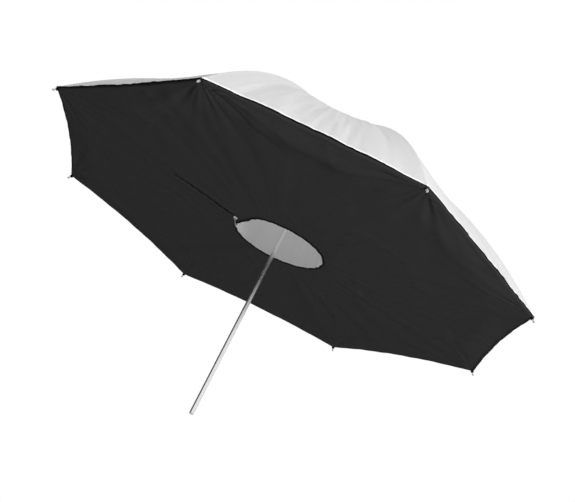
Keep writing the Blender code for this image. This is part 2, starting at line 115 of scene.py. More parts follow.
cover = points_of("cover_panel_1")
cover_r = np.hypot(cover[:, 0], cover[:, 1])
HOLE_R = float(cover_r.min())
HOLE_Z = float(cover[cover_r.argmin(), 2])
low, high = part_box("zip_tape")
ZIP_Y = (low[1] + high[1]) / 2
ZIP_IN, ZIP_OUT = -high[0], -low[0]  # distances of its ends from the shaft


def azimuth_of(number):
    return pi + (number - 1) * TURN


def dome(radius):
    """Height of the canopy over a rib."""
    u = radius / SPAN_R
    flat = 2 * u**3 - 3 * u**2 + 1
    top = u**3 - 2 * u**2 + u
    hem = u**3 - u**2
    return HEM_Z + flat * DOME_H - top * SPAN_R * TOP_SLOPE - hem * SPAN_R * HEM_SLOPE


def fall(radius):
    """Angle of the dome below level."""
    step = 1e-5
    return atan2(dome(radius - step) - dome(radius + step), 2 * step)


def rib_line(radius):
    """Distance from the shaft and height of the rib's wire under this radius of the dome."""
    angle = fall(radius)
    return radius - RIB_DROP * sin(angle), dome(radius) - RIB_DROP * cos(angle)


def gore_point(radius, share):
    """Outside of the canopy at a share (0 at a rib, 0.5 midway) of the way to the next rib, rib on +X."""
    slack = 4 * share * (1 - share)
    r = radius * (1 - SCALLOP * slack * (radius / SPAN_R) ** 2)
    sag = SAG * sin(pi * (r / SPAN_R) ** 0.8) * slack
    lean = atan2(tan(fall(r)), cos(HALF))
    x = r * (1 - share + share * cos(TURN))
    y = r * share * sin(TURN)
    inward = Vector((-sin(lean) * cos(HALF), -sin(lean) * sin(HALF), -cos(lean)))
    return Vector((x, y, dome(r))) + inward * sag, -inward


# ------------------------------------------------------------------ finishes
def finish_of(name, colour, roughness, metallic=0.0, specular=0.5):
    made = bpy.data.materials.new(name)
    made.use_nodes = True
    shader = made.node_tree.nodes["Principled BSDF"]
    shader.inputs["Base Color"].default_value = (*colour, 1)
    shader.inputs["Roughness"].default_value = roughness
    shader.inputs["Metallic"].default_value = metallic
    shader.inputs["Specular IOR Level"].default_value = specular
    made.diffuse_color = (*colour, 1)
    return made


def add_weave(made, thread, strength):
    """Fine over-and-under weave in the cloth's own UV map, whose units are metres."""
    tree = made.node_tree
    where = tree.nodes.new("ShaderNodeUVMap")
    where.uv_map = "cloth"
    grow = tree.nodes.new("ShaderNodeMapping")
    grow.inputs["Scale"].default_value = (1 / thread, 1 / thread, 1 / thread)
    weave = tree.nodes.new("ShaderNodeTexChecker")
    weave.inputs["Scale"].default_value = 1.0
    bump = tree.nodes.new("ShaderNodeBump")
    bump.inputs["Strength"].default_value = strength
    bump.inputs["Distance"].default_value = thread * 0.2
    tree.links.new(where.outputs["UV"], grow.inputs["Vector"])
    tree.links.new(grow.outputs["Vector"], weave.inputs["Vector"])
    tree.links.new(weave.outputs["Fac"], bump.inputs["Height"])
    tree.links.new(bump.outputs["Normal"], tree.nodes["Principled BSDF"].inputs["Normal"])


def add_wear(made, low, high, scale):
    """Clouds of roughness from low to high, in the piece's own space."""
    tree = made.node_tree
    where = tree.nodes.new("ShaderNodeTexCoord")
    cloud = tree.nodes.new("ShaderNodeTexNoise")
    cloud.inputs["Scale"].default_value = scale
    cloud.inputs["Detail"].default_value = 3.0
    ramp = tree.nodes.new("ShaderNodeMapRange")
    ramp.inputs["To Min"].default_value = low
    ramp.inputs["To Max"].default_value = high
    tree.links.new(where.outputs["Object"], cloud.inputs["Vector"])
    tree.links.new(cloud.outputs["Fac"], ramp.inputs["Value"])
    tree.links.new(ramp.outputs["Result"], tree.nodes["Principled BSDF"].inputs["Roughness"])


def add_glow(made, colour, share):
    """Lets this share of the light through the cloth."""
    tree = made.node_tree
    glow = tree.nodes.new("ShaderNodeBsdfTranslucent")
    glow.inputs["Color"].default_value = (*colour, 1)
    both = tree.nodes.new("ShaderNodeMixShader")
    both.inputs["Fac"].default_value = share
    tree.links.new(tree.nodes["Principled BSDF"].outputs["BSDF"], both.inputs[1])
    tree.links.new(glow.outputs["BSDF"], both.inputs[2])
    tree.links.new(both.outputs["Shader"], tree.nodes["Material Output"].inputs["Surface"])


white = finish_of("white_nylon", (0.86, 0.86, 0.86), 0.62, specular=0.25)
add_weave(white, 0.0006, 0.25)
add_glow(white, (0.88, 0.88, 0.88), 0.34)
binding = finish_of("white_binding", (0.82, 0.82, 0.82), 0.7, specular=0.2)
add_weave(binding, 0.0008, 0.3)
black = finish_of("black_nylon", (0.0252, 0.0252, 0.0256), 0.60, specular=0.02)
add_weave(black, 0.0006, 0.30)
# Darker copy of the black cloth: painted shade on the side strip and the opening's casing, and the dark
# colour of the rib pockets and the rosette.
edge = finish_of("dark_trim_and_painted_shade", (0.004, 0.004, 0.0042), 0.8, specular=0.12)
add_weave(edge, 0.0010, 0.35)
# Zip coil: black, and darker than the cover's cloth so that it also carries painted shade in the groove
# between the lips.
zip_black_and_shade = finish_of("zip_coil_black_and_painted_shade", (0.0022, 0.0022, 0.0024), 0.8, specular=0.08)
add_weave(zip_black_and_shade, 0.0012, 0.5)
chrome = finish_of("polished_steel_tube", (0.92, 0.92, 0.93), 0.28, metallic=1.0)
add_wear(chrome, 0.25, 0.31, 60.0)
steel = finish_of("rib_steel", (0.58, 0.58, 0.59), 0.32, metallic=1.0)
add_wear(steel, 0.26, 0.40, 90.0)
bright = finish_of("bright_tip_metal", (0.85, 0.85, 0.86), 0.18, metallic=1.0)
plastic = finish_of("black_moulding", (0.022, 0.022, 0.023), 0.42)
add_wear(plastic, 0.36, 0.50, 140.0)


# ------------------------------------------------------------------ mesh makers
LONG_RUN = 0.02  # a lathed wall longer than this gets support rings close to its ends
MERGE = 1e-7


def add_object(name, data):
    made = bpy.data.objects.new(name, data)
    bpy.context.scene.collection.objects.link(made)
    return made


def new_piece(name, points, faces, finish, uvs=None):
    mesh = bpy.data.meshes.new(name)
    mesh.from_pydata([tuple(map(float, p)) for p in points], [], faces)
    if uvs is not None:
        layer = mesh.uv_layers.new(name="cloth")
        for loop in mesh.loops:
            layer.data[loop.index].uv = uvs[loop.vertex_index]
    mesh.polygons.foreach_set("use_smooth", [True] * len(mesh.polygons))
    mesh.materials.append(finish)
    mesh.update()
    return add_object(name, mesh)


def piece_from(work, name, at, finish, degrees):
    """Piece made from a bmesh, put in place by a matrix."""
    mesh = bpy.data.meshes.new(name)
    work.to_mesh(mesh)
    work.free()
    mesh.transform(at)
    mesh.polygons.foreach_set("use_smooth", [True] * len(mesh.polygons))
    mesh.materials.append(finish)
    return sharpen(add_object(name, mesh), degrees)


def sharpen(made, degrees):
    """Keeps edges sharper than this angle crisp on a smooth-shaded piece."""
    made.data.set_sharp_from_angle(angle=degrees * pi / 180)
    return made


def outward(made, merge=False):
    """Turns the faces of a closed piece outward, after merging the points that a lathe leaves on its axis."""
    work = bmesh.new()
    work.from_mesh(made.data)
    if merge:
        bmesh.ops.remove_doubles(work, verts=work.verts, dist=MERGE)
        bmesh.ops.dissolve_degenerate(work, edges=work.edges, dist=MERGE)
    bmesh.ops.recalc_face_normals(work, faces=work.faces)
    work.to_mesh(made.data)
    work.free()
    return made


def turn_to(made, azimuth):
    """Turns a piece built on +X to its place about the shaft."""
    made.data.transform(Matrix.Rotation(azimuth, 4, "Z"))
    return made


def grid_faces(rows, cols, around=False):
    faces = []
    for i in range(rows - 1):
        for j in range(cols if around else cols - 1):
            k = (j + 1) % cols
            faces.append((i * cols + j, i * cols + k, (i + 1) * cols + k, (i + 1) * cols + j))
    return faces


def capped_faces(rings, sides):
    """Faces of a tube of rings, with a face over each end."""
    ends = [tuple(range(sides)), tuple(range((rings - 1) * sides, rings * sides))]
    return grid_faces(rings, sides, True) + ends


def circle(count):
    """(cosine, sine) of even steps round a circle."""
    return [(cos(2 * pi * k / count), sin(2 * pi * k / count)) for k in range(count)]


def quarter(count):
    """(cosine, sine) from 0 to a right angle, both included."""
    return [(cos(pi / 2 * k / count), sin(pi / 2 * k / count)) for k in range(count + 1)]


def lathe(name, profile, finish, steps=64, closed=True):
    """Solid of revolution about Z from (r, z) points; the outline closes on itself or runs to the axis."""
    outline = []
    for a, b in zip(profile, profile[1:] + profile[:1]):
        outline.append(a)
        if hypot(b[0] - a[0], b[1] - a[1]) > LONG_RUN:
            outline += [tuple(u + (v - u) * k for u, v in zip(a, b)) for k in (0.004, 0.996)]
    if closed:
        outline.append(outline[0])
    points = [(r * c, r * s, z) for r, z in outline for c, s in circle(steps)]
    made = new_piece(name, points, grid_faces(len(outline), steps, True), finish)
    return sharpen(outward(made, merge=True), 38)


def tube(name, line, radius, finish, sides=16, flat=None):
    """Round bar through points, with closed ends; flat gives (across, deep) factors for each point."""
    line = [Vector(p) for p in line]
    points = []
    side = None
    for k, at in enumerate(line):
        run = (line[min(k + 1, len(line) - 1)] - line[max(k - 1, 0)]).normalized()
        if side is None:
            side = run.cross(Vector((0, 0, 1)))
            side = side.normalized() if side.length > 1e-4 else Vector((0, 1, 0))
        side = (side - run * side.dot(run)).normalized()
        up = run.cross(side)
        wide, deep = flat[k] if flat else (1.0, 1.0)
        for c, s in circle(sides):
            points.append(at + side * (c * radius * wide) + up * (s * radius * deep))
    made = new_piece(name, points, capped_faces(len(line), sides), finish)
    return sharpen(outward(made), 50)


def eye_disc(name, r, z, radius, azimuth):
    """Steel eye with eased edges, flat in a rib's plane."""
    half, ease = 0.00075, 0.00015
    narrow = radius - ease
    points = []
    for y, wide in ((-half, narrow), (ease - half, radius), (half - ease, radius), (half, narrow)):
        points += [(r + wide * c, y, z + wide * s) for c, s in circle(24)]
    made = new_piece(name, points, capped_faces(4, 24), steel)
    return turn_to(sharpen(outward(made), 35), azimuth)


def eased_box(name, low, high, ease, at, finish):
    work = bmesh.new()
    bmesh.ops.create_cube(work, size=1)
    for v in work.verts:
        v.co = Vector([low[i] + (v.co[i] + 0.5) * (high[i] - low[i]) for i in range(3)])
    bmesh.ops.bevel(work, geom=work.edges[:], offset=ease, segments=3, profile=0.5, affect="EDGES")
    return piece_from(work, name, Matrix.Translation(at), finish, 40)


def eased(node, finish, width=0.00025):
    """Shows a CAD node itself, with fine rounded edges."""
    shape = frame["nodes"][node]
    shape.data.materials.clear()
    shape.data.materials.append(finish)
    ease = shape.modifiers.new("ease", "BEVEL")
    ease.width = width
    ease.segments = 2
    ease.limit_method = "ANGLE"
    ease.angle_limit = 0.6


# ------------------------------------------------------------------ cloth makers
NORMAL_STEP = 1e-4


def cloud(x, y, z):
    return noise.noise(Vector((x, y, z)))


def both_sides(half):
    """Signed shares across a gore's two halves, from those of one half that starts at 0."""
    return [-share for share in reversed(half[1:])] + half


def with_normals(made, place, params, azimuth):
    """Sets shading normals from the surface itself, so that neighbouring pieces shade as one cloth."""
    turn = Matrix.Rotation(azimuth, 3, "Z")
    normals = []
    for a, b in params:
        along = place(a + NORMAL_STEP, b) - place(a - NORMAL_STEP, b)
        across = place(a, b + NORMAL_STEP) - place(a, b - NORMAL_STEP)
        n = along.cross(across)
        normals.append(turn @ (n.normalized() if n.length > 1e-12 else Vector((0, 0, 1))))
    first = made.data.polygons[0]
    if first.normal.dot(normals[first.vertices[0]]) < 0:
        made.data.flip_normals()
    made.data.normals_split_custom_set_from_vertices([tuple(n) for n in normals])


def cloth_grid(name, place, rows, half_of, finish, azimuth):
    """Piece of cloth over parameters (row value, signed share across), turned to its azimuth."""
    points, params, uvs = [], [], []
    for a in rows:
        columns = both_sides(half_of(a))
        for b in columns:
            p = place(a, b)
            points.append(p)
            params.append((a, b))
            uvs.append((p.y, hypot(p.x, p.y)))
    made = new_piece(name, points, grid_faces(len(rows), len(columns)), finish, uvs)
    turn_to(made, azimuth)
    with_normals(made, place, params, azimuth)
    return made


# ------------------------------------------------------------------ white canopy
BANDS = (PANEL_FROM, 0.26 * SPAN_R, 0.64 * SPAN_R, SPAN_R)
BAND_ROWS = (18, 26, 26)
ACROSS = 24
SEAM_HALF, SEAM_STEP, SEAM_RISE = 0.0030, 0.0005, 0.0004
FOLDS = (  # waves round the dome, waves along a rib, noise offset, height
    (9, 4, 0, 0.0016),
    (38, 7, 5, 0.00085),
    (90, 11, 9, 0.00030),
)
PUCKER_HEIGHT, PUCKER_PITCH, PUCKER_REACH = 0.00012, 0.0022, 0.010
LOW_HEM = {1: 0.68}  # share of its rise between two ribs that a hem gives up, by gore
HANG_REACH = 0.05  # how far in from the hem that shows
HEM_SECTION = (  # distance past the hem and out of the cloth, round the turned edge
    (-0.0058, 0.0002),
    (-0.0053, 0.0006),
    (-0.0002, 0.0008),
    (0.0006, 0.0001),
    (0.0002, -0.0006),
    (-0.0045, -0.0005),
)


def gore_of(number, signed):
    """Gore on this side of a rib."""
    return number if signed > 0 else (number - 2) % RIBS + 1


def canopy_shares(radius):
    """Shares from the rib to midway: close together over the seam, the rest even."""
    chord = 2 * radius * sin(HALF)
    near = min(SEAM_HALF / chord, 0.20)
    past = min((SEAM_HALF + SEAM_STEP) / chord, 0.24)
    even = [past + (0.5 - past) * k / ACROSS for k in range(1, ACROSS + 1)]
    return [0.0, near * 0.5, near, past] + even


def canopy_lift(angle, radius, share):
    """How far soft folds and the hem's puckers stand out of the dome."""
    folds = 0.0
    for turns, waves, offset, height in FOLDS:
        folds += cloud(cos(angle) * turns, sin(angle) * turns, radius * waves + offset) * height
    ease = min(1.0, share * 6) * min(1.0, radius / 0.12)
    pucker = sin(angle * SPAN_R / PUCKER_PITCH) * PUCKER_HEIGHT * exp(-(SPAN_R - radius) / PUCKER_REACH)
    return folds * ease + pucker * min(1.0, share * 10)


def canopy_at(number, radius, signed):
    """Outside of the canopy beside a rib, rib on +X; the signed share is below 0 toward the rib before."""
    share = abs(signed)
    sign = -1.0 if signed < 0 else 1.0
    p, n = gore_point(radius, share)
    p.y *= sign
    n.y *= sign
    lift = canopy_lift(azimuth_of(number) + atan2(p.y, p.x), radius, share)
    if share * 2 * radius * sin(HALF) <= SEAM_HALF + 0.0001:
        lift += SEAM_RISE
    hang = LOW_HEM.get(gore_of(number, signed), 0.0)
    if hang:
        hang *= (gore_point(SPAN_R, share)[0].z - HEM_Z) * exp(-(((SPAN_R - radius) / HANG_REACH) ** 2))
    return p + n * lift - Vector((0, 0, hang))


def canopy_hem(number):
    """Turned hem of the canopy on both sides of a rib."""
    points, uvs = [], []
    columns = both_sides(canopy_shares(SPAN_R))
    for along, off in HEM_SECTION:
        for c in columns:
            at = canopy_at(number, SPAN_R, c)
            run = (at - canopy_at(number, SPAN_R - 0.002, c)).normalized()
            side = canopy_at(number, SPAN_R, c + 0.001) - canopy_at(number, SPAN_R, c - 0.001)
            normal = run.cross(side).normalized()
            base = canopy_at(number, SPAN_R + min(along, 0.0), c)
            points.append(base + run * max(along, 0.0) + normal * off)
            uvs.append((at.y, along))
    faces = grid_faces(len(HEM_SECTION), len(columns))
    made = new_piece(f"canopy_hem_{number}", points, faces, binding, uvs)
    return turn_to(made, azimuth_of(number))


for number in range(1, RIBS + 1):
    azimuth = azimuth_of(number)
    for band, (start, stop) in enumerate(zip(BANDS, BANDS[1:])):
        rows = [start + (stop - start) * k / BAND_ROWS[band] for k in range(BAND_ROWS[band] + 1)]
        place = partial(canopy_at, number)
        cloth = cloth_grid(f"canopy_{number}_{band + 1}", place, rows, canopy_shares, white, azimuth)
        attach(cloth, f"rib_{number}")
        if band == 1:
            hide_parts(f"canopy_panel_{number}")
        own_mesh(cloth)
    hem = canopy_hem(number)
    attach(hem, f"rib_{number}")
    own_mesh(hem)

# ------------------------------------------------------------------ black front cover
COVER_ROWS = 70
COVER_ACROSS = 34
BESIDE_RIB = [0.0, 0.006, 0.013, 0.021, 0.032]
COVER_HALF = BESIDE_RIB + [0.032 + (0.5 - 0.032) * k / COVER_ACROSS for k in range(1, COVER_ACROSS + 1)]
COVER_COLUMNS = both_sides(COVER_HALF)
OVAL, OVAL_TURN = 0.0045, 0.559
DRAWN_IN, DRAWN_WIDTH = 0.0122, 0.42  # how far the zip draws the opening in, and over which angle
CASING_R = 0.0012
RIM_INSET, TIP_INSET = 0.0024, 0.0012
RIM_RISE = {1: 0.20, 2: 0.50, 3: 0.85}  # share of the hem's rise that the rim follows, by gore
OTHER_RISE = 0.72
SWELL = {1: 0.0075, 2: 0.0075}  # how far the cloth bellies out inside the rim, by gore
OTHER_SWELL = 0.0040
COVER_FOLDS = ((7, 3, 0.0016), (24, 11, 0.00070), (60, 17, 0.00010))  # waves, offset, height
ROUND_FOLDS = (  # waves round the opening, waves outward, offset, height, radius of full height
    (20, 7, 0, 0.00030, 0.2),
    (9, 3, 4, 0.0020, 0.3),
)
CREASED = (0.55, 1.0, 0.9, 0.35, 0.35, 0.45, 0.6, 1.0)  # how creased the cloth is at each rib's tip
CREASE_HEIGHT, CREASE_REACH, CREASE_FAR = 0.0034, 0.10, 0.42
# Rows above these take the darker black finish, which paints shade on the strip.
CLOTH_ROWS = {1: 1, 2: 3, 3: 3}  # rows of the side strip, from the rim up, in the cover's cloth, by gore
STRIP_ROWS = 6
CASING_SIDES = 12
corners = [(SPAN_R * cos(azimuth_of(n)), SPAN_R * sin(azimuth_of(n))) for n in range(1, RIBS + 1)]


def hole_at(angle):
    """Radius of the opening's edge."""
    ruffle = 0.0007 * sin(angle * 23 + 2 * sin(angle * 5)) + 0.0003 * sin(angle * 61)
    from_zip = (angle - pi) % (2 * pi)
    from_zip = min(from_zip, 2 * pi - from_zip)
    drawn_in = DRAWN_IN * exp(-((from_zip / DRAWN_WIDTH) ** 2))
    return HOLE_R - 0.0009 + OVAL * cos(2 * (angle + OVAL_TURN)) + ruffle - drawn_in


def cover_level(s):
    """Height of the cover's lower face before folds: s 0 at the opening, 1 at the rim."""
    return HOLE_Z - 0.0008 + (HEM_Z - 0.0022 - HOLE_Z) * s


def crease(x, y, scale, seed):
    """Thin ridges where a slow noise crosses zero."""
    return exp(-((cloud(x * scale, y * scale, seed) / 0.055) ** 2))


def tip_creases(x, y):
    """Creases that fan out from each rib's tip."""
    height = 0.0
    for index, (cx, cy) in enumerate(corners):
        reach = hypot(x - cx, y - cy)
        if reach > CREASE_FAR:
            continue
        lean = atan2(y - cy, x - cx) - atan2(-cy, -cx)
        lean = (lean + pi) % (2 * pi) - pi
        fan = sin(lean * 15 + index * 1.7 + 1.5 * sin(lean * 5 + index))
        fan += 0.5 * sin(lean * 29 + index * 2.9) + 0.35 * sin(reach * 60 + lean * 9)
        fan *= 0.35 + 0.65 * min(1.0, abs(lean) / 0.9)
        near = exp(-reach / CREASE_REACH) * (1 - exp(-reach / 0.02))
        height += CREASE_HEIGHT * CREASED[index] * fan * near
    return height


def zip_puckers(x, y):
    """Puckers and a soft ridge on both sides of the zip."""
    if x >= 0:
        return 0.0
    beside = abs(y - ZIP_Y)
    inside = min(1.0, max(0.0, (-x - ZIP_IN + 0.01) / 0.02))
    inside *= min(1.0, max(0.0, (ZIP_OUT + 0.02 + x) / 0.03))
    puckers = 0.0006 * inside * exp(-beside / 0.012) * sin(x / 0.0026 + 2 * sin(x * 90))
    return puckers + 0.0014 * inside * exp(-(((beside - 0.011) / 0.006) ** 2))


def cover_drop(x, y):
    """How far the cloth stands out of its mean surface, downward."""
    r = hypot(x, y)
    angle = atan2(y, x)
    drop = crease(x, y, 5.0, 2.3) * 0.00075 + crease(x + 0.4, y, 8.0, 7.1) * 0.00045
    for waves, offset, height in COVER_FOLDS:
        drop += cloud(x * waves, y * waves, offset) * height
    for turns, waves, offset, height, full in ROUND_FOLDS:
        drop += cloud(cos(angle) * turns, sin(angle) * turns, r * waves + offset) * height * min(1, r / full)
    return drop + tip_creases(x, y) + zip_puckers(x, y)


def cover_at(number, s, signed):
    """Lower face of the cover beside a rib, rib on +X: s 0 at the opening, 1 at the rim."""
    share = abs(signed)
    sign = -1.0 if signed < 0 else 1.0
    gore = gore_of(number, signed)
    rim, _ = gore_point(SPAN_R, share)
    flat_rim = Vector((rim.x, rim.y, 0))
    turned = azimuth_of(number) + atan2(rim.y, rim.x) * sign
    wave = (0.0007 * sin(turned * 31 + 1.1) + 0.0005 * sin(turned * 73)) * min(1.0, share * 12)
    inset = RIM_INSET + wave + TIP_INSET * exp(-((share / 0.02) ** 2))
    flat_rim -= flat_rim.normalized() * inset
    local = atan2(flat_rim.y, flat_rim.x) * sign
    world = azimuth_of(number) + local
    opening = hole_at(world) + CASING_R
    far = flat_rim.length
    r = opening + (far - opening) * s
    edge_in = (1 - s) * (far - opening)
    rise = RIM_RISE.get(gore, OTHER_RISE) * (rim.z - HEM_Z) * exp(-((edge_in / 0.050) ** 2))
    lens = 4 * share * (1 - share)
    swell = SWELL.get(gore, OTHER_SWELL) * lens * lens * exp(-(((edge_in - 0.042) / 0.026) ** 2))
    swell += 0.0005 * lens * sin(edge_in / 0.0050 + 3 * sin(share * 9)) * exp(-edge_in / 0.045)
    hold = min(1.0, edge_in / 0.012) * min(1.0, s * 14)
    z = cover_level(s) + rise - (cover_drop(r * cos(world), r * sin(world)) + swell) * hold
    return Vector((r * cos(local), r * sin(local), z))


def side_strip(number):
    """Black strip between the cover's rim and the canopy's hem, its upper rows in the darker finish as
    painted shade.
    """
    points, uvs = [], []
    for level in range(STRIP_ROWS):
        k = level / (STRIP_ROWS - 1)
        for c in COVER_COLUMNS:
            under = cover_at(number, 1.0, c)
            over = canopy_at(number, SPAN_R, c)
            over.z += 0.0006
            out = Vector((over.x, over.y, 0)).normalized()
            at = under.lerp(over + out * 0.0012, k) + out * (0.0007 * sin(pi * k))
            if level == 0:
                at = cover_at(number, 0.993, c) - Vector((0, 0, 0.0005))
            points.append(at)
            uvs.append((at.y, k * 0.01))
    faces = grid_faces(STRIP_ROWS, len(COVER_COLUMNS))
    made = new_piece(f"cover_rim_{number}", points, faces, edge, uvs)
    # Slot 0 is the darker finish, painted shade; slot 1 is the cover's own black cloth for the lowest rows.
    made.data.materials.append(black)
    for face in made.data.polygons:
        level, column = divmod(face.index, len(COVER_COLUMNS) - 1)
        gore = gore_of(number, COVER_COLUMNS[column] + COVER_COLUMNS[column + 1])
        face.material_index = int(level < CLOTH_ROWS.get(gore, 0))
    return turn_to(made, azimuth_of(number))


def opening_casing(number):
    """Gathered casing round the opening, in the darker black finish that paints shade along its lip."""
    points, uvs = [], []
    for j, (c, s) in enumerate(circle(CASING_SIDES)):
        for column in COVER_COLUMNS:
            base = cover_at(number, 0.0, column)
            world = azimuth_of(number) + atan2(base.y, base.x)
            out = Vector((base.x, base.y, 0)).normalized()
            fat = 1 + 0.22 * sin(world * 83) + 0.15 * sin(world * 131)
            at = base + out * (0.0014 + 0.0024 * c)
            at.z += -0.0004 + 0.0013 * s * fat
            points.append(at)
            uvs.append((at.y, j * 0.0009))
    count = len(COVER_COLUMNS)
    last = (CASING_SIDES - 1) * count
    faces = grid_faces(CASING_SIDES, count)
    faces += [(last + k, last + k + 1, k + 1, k) for k in range(count - 1)]
    made = new_piece(f"opening_casing_{number}", points, faces, edge, uvs)
    return turn_to(made, azimuth_of(number))


for number in range(1, RIBS + 1):
    azimuth = azimuth_of(number)
    body, joint = f"cover_{number}", f"rib_fold_{number}"
    rows = [k / COVER_ROWS for k in range(COVER_ROWS + 1)]
    place = partial(cover_at, number)
    cloth = cloth_grid(f"cover_{number}_cloth", place, rows, lambda _: COVER_HALF, black, azimuth)
    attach(cloth, body)
    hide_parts(f"cover_panel_{number}")
    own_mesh(cloth)
    for trim in (side_strip(number), opening_casing(number)):
        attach(trim, body)
        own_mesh(trim)

# ------------------------------------------------------------------ zip of the cover
ZIP_STEPS = 120
COIL_PITCH = 0.0024
LIP_SECTION = (  # distance from the zip's middle and below the cover, across one lip
    (0.0034, 0.0002),
    (0.0035, 0.0010),
    (0.0044, 0.0013),
    (0.0058, 0.0010),
    (0.0066, 0.0002),
)
TAPE_SECTION = (
    (-0.0038, 0.0002),
    (-0.0013, 0.0002),
    (-0.0011, 0.0006),
    (0.0, 0.0008),
    (0.0011, 0.0006),
    (0.0013, 0.0002),
    (0.0038, 0.0002),
)
SLIDER_LOW, SLIDER_HIGH = (-0.0042, -0.0026, -0.0014), (0.0042, 0.0026, 0.0008)
PULL_LEAN = -0.62
PULL_HALF = 0.0005  # half its thickness


def zip_point(along, aside, below):
    """Point under the cover beside the zip, at a distance from the shaft."""
    x = -along
    y = ZIP_Y + aside
    opening = hole_at(atan2(y, x)) + CASING_R
    s = (hypot(x, y) - opening) / (SPAN_R - 0.005 - opening)
    hold = min(1.0, max(0.0, s * 14))
    return Vector((x, y, cover_level(s) - cover_drop(x, y) * hold - below))


for side, tag in ((-1, "a"), (1, "b")):
    points, uvs = [], []
    for out, below in LIP_SECTION:
        for k in range(ZIP_STEPS + 1):
            along = ZIP_IN + (ZIP_OUT - ZIP_IN) * k / ZIP_STEPS
            wave = 0.0005 * sin(along / 0.0031 + side) + 0.0003 * sin(along / 0.0013)
            points.append(zip_point(along, side * (out + wave * min(1.0, out / 0.003)), below))
            uvs.append((along, out))
    faces = grid_faces(len(LIP_SECTION), ZIP_STEPS + 1)
    lip = new_piece(f"zip_lip_{tag}", points, faces, black, uvs)
    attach(lip, "cover_1")

points, uvs = [], []
for k in range(ZIP_STEPS + 1):
    along = ZIP_IN + 0.001 + (ZIP_OUT - ZIP_IN - 0.001) * k / ZIP_STEPS
    for out, below in TAPE_SECTION:
        bead = 0.0003 * (1 + sin(along * 2 * pi / COIL_PITCH)) if abs(out) < 0.0012 else 0.0
        points.append(zip_point(along, out, below + bead))
        uvs.append((along, out))
# The coil's finish is black with painted shade from the groove.
coils = new_piece("zip_coils", points, grid_faces(ZIP_STEPS + 1, len(TAPE_SECTION)), zip_black_and_shade, uvs)
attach(coils, "cover_1")
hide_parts("zip_tape")

low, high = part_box("zip_slider")
slider_at = zip_point(-(low[0] + high[0]) / 2 - 0.0020, 0.0, 0.0016)
slider = eased_box("zip_slider_body", SLIDER_LOW, SLIDER_HIGH, 0.0006, slider_at, bright)
arch = [(cos(pi * k / 12), sin(pi * k / 12)) for k in range(13)]
arch = [slider_at + Vector((0.0036 * c, 0, -0.0012 - 0.0026 * s)) for c, s in arch]
bridge = tube("zip_slider_bridge", arch, 0.0006, bright)
for made in (slider, bridge):
    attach(made, "zip_slider")
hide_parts("zip_slider")


def pull_tab():
    """Drop-shaped pull with a slot for the slider's bridge."""
    outline = []
    for c, s in circle(48):
        narrowed = 0.0030 * c * (0.8 + 0.2 * (s < 0))
        outline.append((narrowed, 0.0058 * s + (0.0 if s > 0 else -0.0045)))
    work = bmesh.new()
    layers = []
    for thick in (-PULL_HALF, PULL_HALF):
        outer = [work.verts.new((thick, x, z - 0.0052)) for x, z in outline]
        slot = [(x * 0.42, max(min(z * 0.36, 0.0030), -0.0040) - 0.0035) for x, z in outline]
        layers.append((outer, [work.verts.new((thick, x, z)) for x, z in slot]))
    near, far = layers
    for k in range(len(outline)):
        n = (k + 1) % len(outline)
        for outer, inner in layers:
            work.faces.new((outer[k], outer[n], inner[n], inner[k]))
        for a, b in zip(near, far):
            work.faces.new((a[k], a[n], b[n], b[k]))
    bmesh.ops.recalc_face_normals(work, faces=work.faces)
    pull_at = slider_at + Vector((-0.0002, 0, -0.0034))
    placed = Matrix.Translation(pull_at) @ Matrix.Rotation(PULL_LEAN, 4, "Y")
    return piece_from(work, "zip_pull_tab", placed, bright, 30)


pull = pull_tab()
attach(pull, "zip_pull")
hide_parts("zip_pull")

# ------------------------------------------------------------------ shaft, stop, cap and rosette
BORE_R = SHAFT_R + 0.0002  # inside of what sits on the shaft
WALL = 0.0008
EDGE_R = 0.0008

tube_profile = [
    (SHAFT_R - WALL, SHAFT_LOW),
    (SHAFT_R - 0.0001, SHAFT_LOW),
    (SHAFT_R, SHAFT_LOW + 0.0002),
    (SHAFT_R, SHAFT_TOP),
    (SHAFT_R - WALL, SHAFT_TOP),
]
shaft = lathe("shaft_tube", tube_profile, chrome, steps=72)
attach(shaft, "shaft")
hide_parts("shaft")

plug_profile = [(0.0, 0.0), (SHAFT_R * 0.55, 0.0)]
plug_profile += [(SHAFT_R * (0.55 + 0.43 * s), 0.0016 * (1 - c)) for c, s in quarter(8)[1:]]
plug_profile += [
    (SHAFT_R * 0.98, SHAFT_LOW - 0.0001),
    (SHAFT_R - 0.0012, SHAFT_LOW - 0.0001),
    (SHAFT_R - 0.0012, 0.011),
    (0.0, 0.011),
]
plug = lathe("shaft_end_plug", plug_profile, chrome, closed=False)
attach(plug, "shaft")
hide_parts("shaft_plug")

low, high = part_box("upper_stop")
inner = (high[0] - low[0]) / 2 - EDGE_R
profile = [(BORE_R, low[2]), (inner, low[2])]
profile += [(inner + EDGE_R * s, low[2] + EDGE_R * (1 - c)) for c, s in quarter(5)[1:]]
profile += [(inner + EDGE_R * c, high[2] - EDGE_R + EDGE_R * s) for c, s in quarter(5)]
profile += [(BORE_R, high[2])]
collar = lathe("upper_stop_collar", profile, plastic)
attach(collar, "shaft")
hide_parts("upper_stop")

low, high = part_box("top_cap")
wide, skirt = (high[0] - low[0]) / 2, low[2] + 0.0014
profile = [(BORE_R, low[2]), (wide - 0.0004, low[2]), (wide, low[2] + 0.0004), (wide, skirt)]
profile += [(wide * c**0.8, skirt + (high[2] - skirt) * s) for c, s in quarter(14)[1:-1]]
profile += [(0.0, high[2]), (0.0, high[2] - 0.0010), (BORE_R, high[2] - 0.0016)]
cap = lathe("top_cap_dome", profile, chrome)
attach(cap, "shaft")
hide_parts("top_cap")

